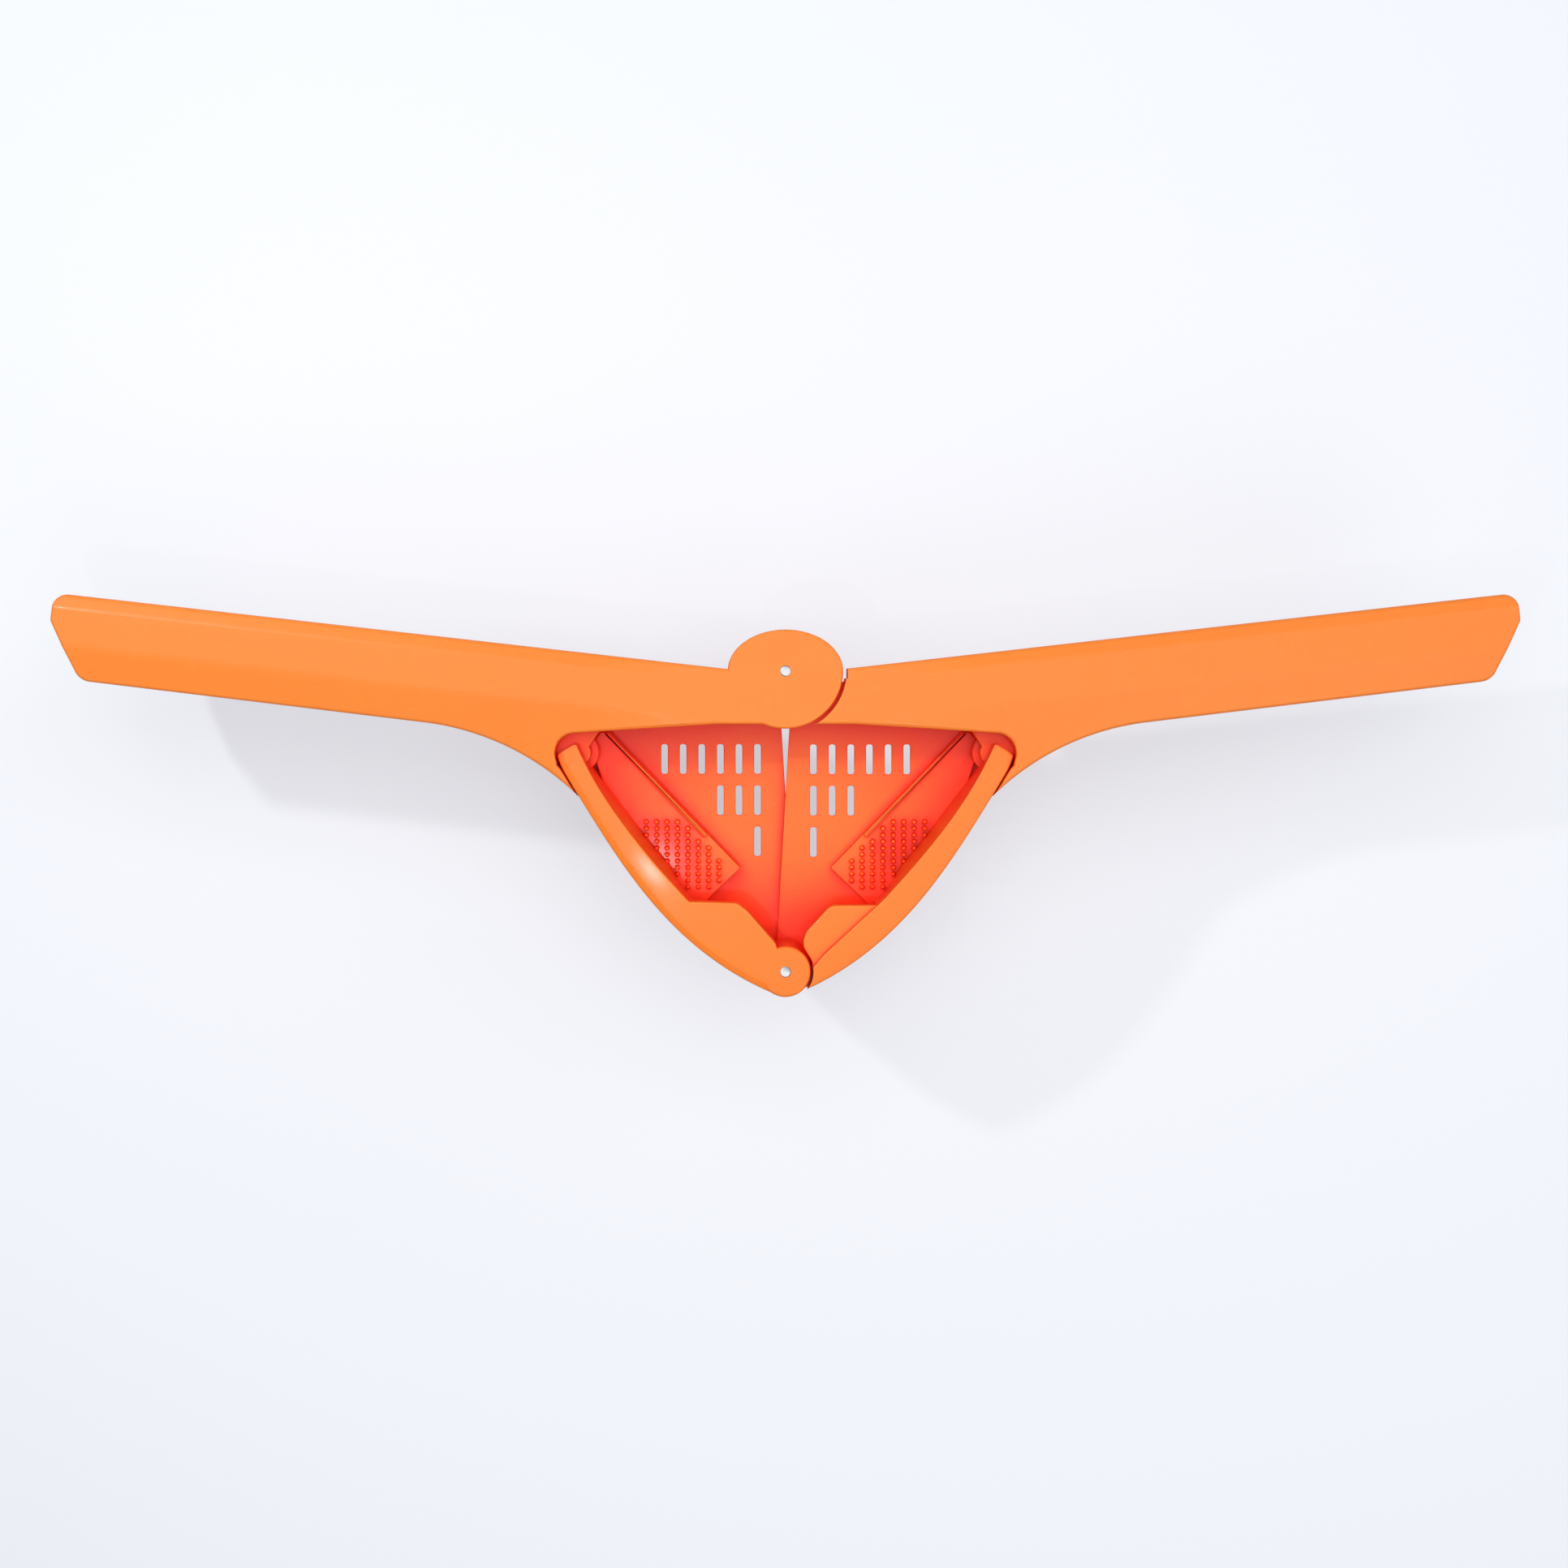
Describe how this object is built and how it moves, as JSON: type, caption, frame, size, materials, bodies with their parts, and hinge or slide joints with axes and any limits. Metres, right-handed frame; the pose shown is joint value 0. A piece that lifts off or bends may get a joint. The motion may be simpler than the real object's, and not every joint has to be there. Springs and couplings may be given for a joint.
{
  "type": "hinged lemon squeezer",
  "caption": "Flat folding lemon squeezer: two long handles and two strainer jaws joined in a kite, so that closing the handles folds the chamber shut on the fruit.",
  "frame": {"origin": "middle of the open squeezer's box, in the plane of its rear faces, on which it lies", "axes": "+X along the handles to the viewer's right, +Y towards the handle tips and the hub, +Z out of the chamber's mouth"},
  "size_m": [0.4252, 0.1171, 0.03],
  "materials": {
    "handle_plastic": "satin",
    "jaw_plastic": "satin",
    "pin_steel": "brushed"
  },
  "bodies": {
    "left_handle": {"left_handle": "handle_plastic", "hub_pin": "pin_steel", "left_pivot_pin": "pin_steel"},
    "right_handle": {"right_handle": "handle_plastic", "right_pivot_pin": "pin_steel"},
    "left_jaw": {"left_jaw": "jaw_plastic", "base_pin": "pin_steel"},
    "right_jaw": {"right_jaw": "jaw_plastic"}
  },
  "joints": [
    {"name": "handle_hinge", "type": "hinge", "parent": "left_handle", "child": "right_handle", "pos_m": [0, 0.03627, 0.02], "axis": [0, 0, 1], "range_deg": [0, 167.3]},
    {"name": "left_jaw_pivot", "type": "hinge", "parent": "left_handle", "child": "left_jaw", "pos_m": [-0.061, 0.01217, 0.012], "axis": [0, 0, 1], "range_deg": [0, 60.3]},
    {"name": "right_jaw_pivot", "type": "hinge", "parent": "right_handle", "child": "right_jaw", "pos_m": [0.061, 0.01217, 0.012], "axis": [0, 0, 1], "range_deg": [-60.3, 0]}
  ],
  "couplings": [
    {"joint": "left_jaw_pivot", "follows": "handle_hinge", "ratio": 0.3599},
    {"joint": "right_jaw_pivot", "follows": "handle_hinge", "ratio": -0.3599}
  ]
}
